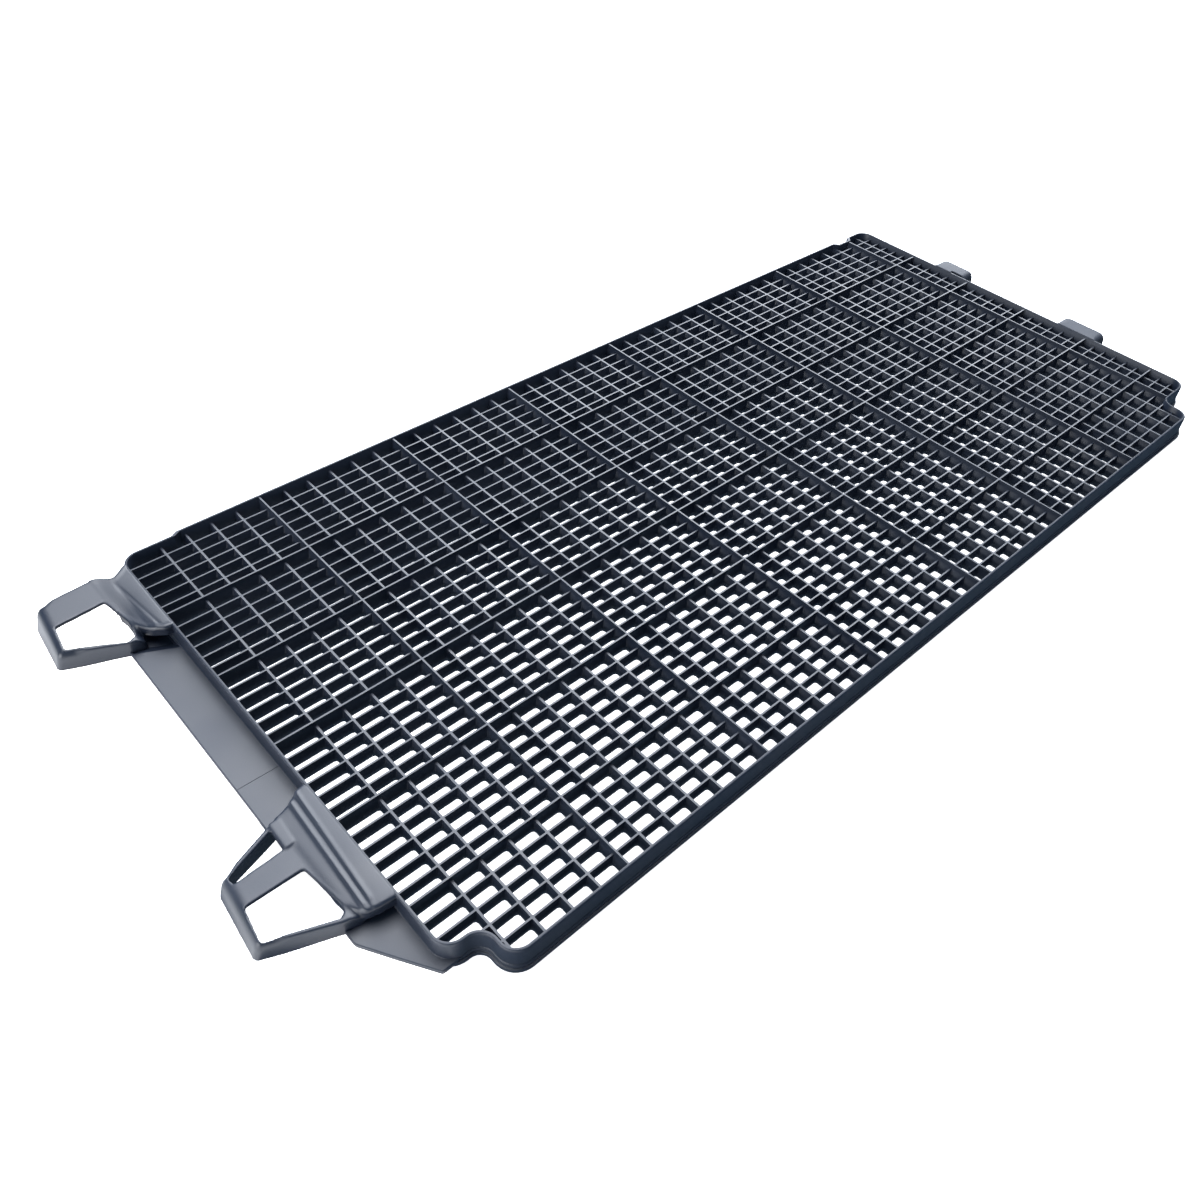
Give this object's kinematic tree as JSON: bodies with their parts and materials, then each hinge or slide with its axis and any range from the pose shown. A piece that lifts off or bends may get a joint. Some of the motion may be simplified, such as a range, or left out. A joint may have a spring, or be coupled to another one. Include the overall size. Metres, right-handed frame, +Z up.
{
  "type": "queen excluder",
  "caption": "Moulded plastic queen excluder: a flat grille of narrow slots in a stepped rim, with two open finger handles and an end plate at one end and two lugs at the other.",
  "frame": {"origin": "middle of the underside of the whole object's box", "axes": "+Z up from the foot to the rim's top edge, +X from the two handles to the two lugs, +Y to the long side with the shallow corner steps and the far handle"},
  "size_m": [0.4969, 0.2152, 0.0109],
  "materials": {
    "black_plastic": "satin"
  },
  "bodies": {
    "root": {"rim_near_side": "black_plastic", "rim_far_side": "black_plastic", "rim_handle_end": "black_plastic", "rim_lug_end": "black_plastic", "grille_crosswise_bars": "black_plastic", "grille_lengthwise_bars": "black_plastic", "grille_main_bars": "black_plastic", "end_plate": "black_plastic", "far_handle_deck": "black_plastic", "far_handle_loop": "black_plastic", "near_handle_deck": "black_plastic", "near_handle_loop": "black_plastic", "far_lug": "black_plastic", "near_lug": "black_plastic"}
  },
  "joints": []
}
